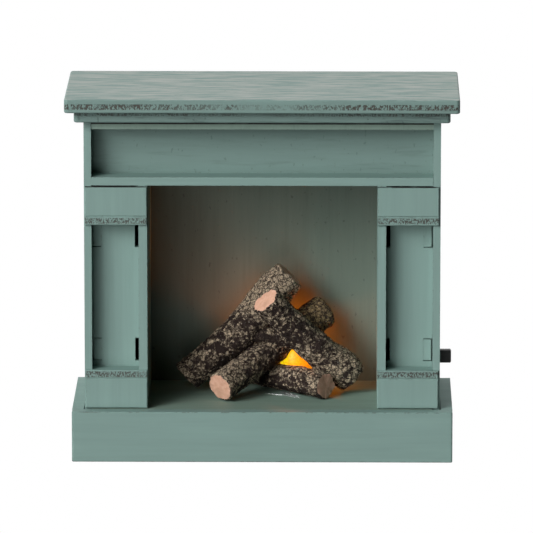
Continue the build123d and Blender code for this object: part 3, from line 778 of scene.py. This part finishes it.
def bare_wood(name):
    """Unpainted wood whose grain runs along X."""
    shader = Shader(name)
    fibre = shader.noise(1.0, 4, 0.6, shader.stretched(grain_scale("X")), 0.3)
    amount = shader.ramp(fibre, ((0.3, 0.0), (0.7, 1.0)))
    shader.set(colour=shader.mix(amount, RAW_WOOD, RAW_WOOD_PALE), roughness=0.7)
    shader.bump(fibre, PAINT_RELIEF * MM, 0.6)
    return shader.material


def clear_glue():
    """Hardened clear glue."""
    shader = Shader("clear_glue")
    ripple = shader.noise(RIPPLE_SCALE, 2, 0.5)
    shader.set(colour=GLUE, transmission=0.85, roughness=0.12, ior=GLUE_INDEX)
    shader.bump(ripple, RIPPLE_DEPTH * MM, 0.4)
    return shader.material


STRAND_SIDES = 10
STRAND_STEPS = 12


def make_glue_strand(name, material, path, radius):
    """A squeezed-out string of glue on the hearth, through places (X, depth) in mm.

    A depth is measured backwards from the front face of the plinth.
    """
    hearth_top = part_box("hearth_board")[1].z
    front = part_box("plinth_front")[0].y
    bm = bmesh.new()
    places = [Vector((x * MM, front + depth * MM, hearth_top)) for x, depth in path]
    steps = STRAND_STEPS * (len(places) - 1)
    previous = None
    for step in range(steps + 1):
        span = min(step / STRAND_STEPS, len(places) - 1 - 1e-6)
        first = int(span)
        centre = places[first].lerp(places[first + 1], span - first)
        along = (places[first + 1] - places[first]).normalized()
        side = Vector((-along.y, along.x, 0))
        taper = math.sin(math.pi * (0.04 + 0.92 * step / steps)) ** 0.4
        size = radius * MM * taper * (1 + 0.35 * noise.noise(Vector((step * 0.37, radius, 0))))
        row = []
        for turn in range(STRAND_SIDES):
            angle = 2 * math.pi * turn / STRAND_SIDES
            sideways = side * (math.cos(angle) * size)
            upwards = Vector((0, 0, 1)) * (math.sin(angle) + 0.7) * size
            row.append(bm.verts.new(centre + sideways + upwards))
        if previous:
            for turn in range(STRAND_SIDES):
                after = (turn + 1) % STRAND_SIDES
                bm.faces.new((previous[turn], previous[after], row[after], row[turn]))
        else:
            bm.faces.new(row[::-1])
        previous = row
    bm.faces.new(previous)
    for face in bm.faces:
        face.smooth = True
    bmesh.ops.recalc_face_normals(bm, faces=bm.faces)
    mesh = bpy.data.meshes.new(name)
    bm.to_mesh(mesh)
    bm.free()
    mesh.materials.append(material)
    strand = add_object(name, mesh)
    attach(strand, "carcass")


# ---------------------------------------------------------------- light and floor

# Studio lights: (name, degrees left of the front, degrees up, radius in degrees, power)
STUDIO_LIGHTS = (
    ("key", 45.0, 28.0, 15.0, 68.0),
    ("wide_key", 38.0, 27.0, 30.0, 30.0),
    ("low_fill", 27.0, 9.0, 9.0, 16.0),
    ("table_bounce", 8.0, -17.0, 12.0, 13.5),
)
LIGHT_DISTANCE = 3.0
LIGHT_AIM = Vector((0, 0, 0.06))
BACK_SKY = 1.0
BACK_SKY_EDGE = 0.3
FLOOR_REACH = 6.0
FLOOR_DROP = 0.02
LAMP_LIGHT = (1.0, 0.19, 0.006)
LAMP_POWER = 0.0145
BEAM_POWER = 0.037
BEAM_TOWARDS = (-23.0, 5.4, 17.0)
BEAM_SPREAD = 84.0
LAMP_RADIUS = 0.9
LAMP_BELOW_TIP = 1.0


def make_world():
    """A sky that is white behind the object and dark in front of it."""
    world = bpy.data.worlds.new("studio")
    bpy.context.scene.world = world
    world.use_nodes = True
    tree = world.node_tree
    background = tree.nodes["Background"]
    place = tree.nodes.new("ShaderNodeTexCoord")
    split = tree.nodes.new("ShaderNodeSeparateXYZ")
    tree.links.new(place.outputs["Generated"], split.inputs["Vector"])
    share = tree.nodes.new("ShaderNodeMapRange")
    share.inputs["From Min"].default_value = 0.0
    share.inputs["From Max"].default_value = BACK_SKY_EDGE
    share.inputs["To Min"].default_value = 0.0
    share.inputs["To Max"].default_value = BACK_SKY
    tree.links.new(split.outputs["Y"], share.inputs["Value"])
    tree.links.new(share.outputs["Result"], background.inputs["Strength"])
    background.inputs["Color"].default_value = (1, 1, 1, 1)


def make_floor():
    """A glowing white sheet just under the object, which neither lights nor shades it."""
    mesh = bpy.data.meshes.new("studio_floor")
    drop = Vector((0, 0, FLOOR_DROP * MM))
    signs = ((-1, -1), (1, -1), (1, 1), (-1, 1))
    corners = [Vector((x * FLOOR_REACH, y * FLOOR_REACH, 0)) - drop for x, y in signs]
    mesh.from_pydata(corners, [], [(0, 1, 2, 3)])
    floor = add_object("studio_floor", mesh)
    shader = Shader("white_floor")
    shader.set(colour=(0, 0, 0), roughness=1.0, specular=0.0, glow=(1, 1, 1), glow_strength=1.0)
    mesh.materials.append(shader.material)
    floor.visible_diffuse = False
    floor.visible_glossy = False
    floor.visible_shadow = False


def make_lights():
    """The studio lights, and the lamp in the log pile with the beam that it throws."""
    for name, left, up, radius, power in STUDIO_LIGHTS:
        data = bpy.data.lights.new(name, "AREA")
        data.shape = "DISK"
        data.size = 2 * LIGHT_DISTANCE * math.tan(math.radians(radius))
        data.energy = power
        light = add_object(name, data)
        left = math.radians(left)
        up = math.radians(up)
        level = math.cos(up)
        away = Vector((-math.sin(left) * level, -math.cos(left) * level, math.sin(up)))
        light.location = LIGHT_AIM + away * LIGHT_DISTANCE
        light.rotation_euler = away.to_track_quat("Z", "Y").to_euler()

    low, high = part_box("led_bulb")
    data = bpy.data.lights.new("lamp", "POINT")
    data.energy = LAMP_POWER
    data.color = LAMP_LIGHT
    data.shadow_soft_size = LAMP_RADIUS * MM
    lamp = add_object("lamp", data)
    height = high.z - LAMP_BELOW_TIP * MM
    lamp.location = ((low.x + high.x) / 2, (low.y + high.y) / 2, height)
    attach(lamp, "carcass")

    data = bpy.data.lights.new("lamp_beam", "SPOT")
    data.energy = BEAM_POWER
    data.color = LAMP_LIGHT
    data.shadow_soft_size = LAMP_RADIUS * MM
    data.spot_size = math.radians(BEAM_SPREAD)
    data.spot_blend = 1.0
    beam = add_object("lamp_beam", data)
    beam.location = lamp.location
    beam.rotation_euler = Vector(BEAM_TOWARDS).to_track_quat("-Z", "Y").to_euler()
    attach(beam, "carcass")


# ---------------------------------------------------------------- build everything

make_camera()
make_world()
make_floor()
make_lights()

# Open end grain shows in the sawn edges of the level boards: (centre Z, half height, strength)
moulding_low, moulding_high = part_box("shelf_moulding")
cap_low, cap_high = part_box("cap_ledge_left")
foot_low, foot_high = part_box("foot_ledge_left")
shelf_band = (SHELF_LOW.z + 0.46 * (SHELF_HIGH.z - SHELF_LOW.z), 0.75 * MM, 0.95)
moulding_band = (moulding_low.z + 0.75 * (moulding_high.z - moulding_low.z), 0.4 * MM, 0.7)
cap_band = ((cap_low.z + cap_high.z) / 2, 0.8 * MM, 0.9)
foot_band = ((foot_low.z + foot_high.z) / 2, 0.8 * MM, 0.9)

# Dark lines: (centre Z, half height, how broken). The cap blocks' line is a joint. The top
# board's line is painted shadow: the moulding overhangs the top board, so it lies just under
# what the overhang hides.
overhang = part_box("top_board")[0].y - moulding_low.y
hidden = overhang * math.tan(CAMERA_DOWN)
moulding_shadow_line = (moulding_low.z - hidden - 0.05 * MM, 0.2 * MM, 0.15)
cap_seam = (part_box("lintel_board")[0].z - 0.22 * MM, 0.16 * MM, 1.0)

# Boards with a paint of their own: (node, name of the paint, grain, tone, and its worn marks
# and tint, which on the shelf hold a painted sheen and on the top board a painted shadow line)
# The shelf's top turns grey in streaks: dusted paint, and a painted sheen of glancing light.
dust_and_sheen_from = SHELF_HIGH.z - 0.1 * MM
shelf_wear_and_sheen = {"bands": (shelf_band,), "streaks": 0.25, "top": dust_and_sheen_from}
moulding_wear = {"bands": (moulding_band,), "streaks": 0.5, "specks": 0.5}
top_board_wear_and_shadow = {"streaks": 0.15, "tint": (1.06, 0.98, 0.90), "seam_and_shadow": moulding_shadow_line}
back_wear = {"streaks": 0.1, "specks": 0.5, "tint": (1.12, 0.95, 0.82)}
BOARDS = (
    ("mantel_shelf", "shelf", "X", 0.86, shelf_wear_and_sheen),
    ("shelf_moulding", "moulding", "X", 0.80, moulding_wear),
    ("top_board", "top_board", "Z", 1.2, top_board_wear_and_shadow),
    ("frieze_panel", "frieze", "X", 0.80, {"streaks": 0.2, "specks": 0.35}),
    ("back_panel", "back", "Z", 0.53, back_wear),
    ("hearth_board", "hearth", "X", 0.98, {"streaks": 0.1, "tint": (1.0, 0.93, 0.84)}),
)
for node, name, grain, tone, wear_and_painted_light in BOARDS:
    dress(node, paint(f"paint_{name}", grain, tone, **wear_and_painted_light))
PAINT_UPRIGHT = paint("paint_upright", "Z")
PAINT_LEVEL = paint("paint_level", "X")
for node in ("plinth_front", "plinth_left", "plinth_right"):
    dress(node, PAINT_LEVEL)
dress("lintel_board", paint("paint_lintel", "X"))
for side in ("left", "right"):
    for node in ("side_board", "cheek_board", "pilaster_panel", "column_liner", "foot_block"):
        dress(f"{node}_{side}", PAINT_UPRIGHT)
    dress(f"cap_block_{side}", paint(f"paint_cap_{side}", "Z", seam_and_shadow=cap_seam))
    for ledge, band in (("cap_ledge", cap_band), ("foot_ledge", foot_band)):
        dress(f"{ledge}_{side}", paint(f"paint_{ledge}_{side}", "X", bands=(band,)))
dress("battery_cover", PAINT_LEVEL)
for node, width in (("lintel_board", 0.15), ("plinth_front", 0.3), ("hearth_board", 0.1)):
    soften(node, width * MM)

BARK = bark_material("log_bark", BARK_TAN)
OLIVE_BARK = bark_material("log_bark_olive", BARK_OLIVE)
CUT = cut_wood_material("log_cut_wood", 0.92)
# Lighter and darker copies of the sawn wood: painted light on the upper right log's end, and
# painted shade on the front right log's end.
CUT_PAINTED_LIT = cut_wood_material("log_cut_wood_painted_lit", 1.12)
CUT_PAINTED_SHADE = cut_wood_material("log_cut_wood_painted_shade", 0.66)

# How much paler the bark is: (share of the log's length from its lower end, value)
REAR_LEFT_PALE = ((0.0, 0.3), (0.3, 0.0), (0.55, -0.25), (0.75, 1.8), (1.0, 2.6))
FRONT_LEFT_PALE = ((0.0, 0.8), (0.4, 0.3), (0.7, 0.0), (1.0, -0.3))
UPPER_RIGHT_PALE = ((0.0, 0.7), (0.3, 0.7), (0.6, -0.2), (1.0, 0.2))
FRONT_RIGHT_PALE = ((0.0, -0.2), (1.0, -0.1))
REAR_RIGHT_PALE = ((0.0, 0.8), (1.0, 1.0))
# Each log's upward-facing bark is painted paler as painted light from above, the front right
# log's most.
make_log("log_rear_left", 1, 7, 0.3, REAR_LEFT_PALE)
make_log("log_front_left", 2, 6, 0.3, FRONT_LEFT_PALE)
make_log("log_upper_right", 3, 7, 0.3, UPPER_RIGHT_PALE, slant=0.12, cut=CUT_PAINTED_LIT)
make_log("log_front_right", 4, 5, 0.4, FRONT_RIGHT_PALE, painted_top_light=1.0, cut=CUT_PAINTED_SHADE)
make_log("log_rear_right", 5, 9, 0.2, REAR_RIGHT_PALE, dome=2.6 * MM, skin=OLIVE_BARK)
make_offcut("log_offcut", 6)

EMBER = ember_material()
# The lump around the lamp and the bulb get a painted glow and cast no shadow, so the lamp's own
# light passes them.
for node in ("ember_core", "led_bulb"):
    dress(node, EMBER).visible_shadow = False

CLEAR_GLUE = clear_glue()
FRONT_STRAND = ((0.9, 27.4), (3.6, 26.2), (6.6, 25.2), (9.9, 22.6), (12.4, 21.6))
REAR_STRAND = ((7.6, 27.2), (8.8, 25.6), (10.4, 24.4), (12.2, 22.8))
dress("glue_beads", CLEAR_GLUE)
make_glue_strand("glue_strand_front", CLEAR_GLUE, FRONT_STRAND, 0.22)
make_glue_strand("glue_strand_rear", CLEAR_GLUE, REAR_STRAND, 0.30)

STEEL_NODES = (
    "switch_bracket",
    "switch_screws",
    "switch_terminals",
    "contact_plate_minus",
    "contact_plate_plus",
    "battery_spring",
    "cover_screws",
    "led_legs",
)
BLACK = (0.008, 0.008, 0.008)
STEEL = (0.62, 0.60, 0.57)
RED = (0.30, 0.012, 0.010)
DARK = (0.02, 0.02, 0.02)
CELL_BLUE = (0.03, 0.05, 0.08)
SMALL_PARTS = (
    (plastic("black_plastic", BLACK, 0.45), ("switch_lever", "switch_body", "battery_tray")),
    (metal("bright_metal", STEEL, 0.3), STEEL_NODES),
    (bare_wood("bare_wood"), ("base_board", "glue_blocks")),
    (plastic("red_sleeve", RED, 0.4), ("wire_cell_to_switch", "wire_switch_to_lamp")),
    (plastic("dark_sleeve", DARK, 0.4), ("wire_lamp_to_cell",)),
    (plastic("cell_wrap", CELL_BLUE, 0.3), ("battery_cell_left", "battery_cell_right")),
)
for material, nodes in SMALL_PARTS:
    for node in nodes:
        dress(node, material)

view = bpy.context.scene.view_settings
view.view_transform = "Standard"
view.look = "None"
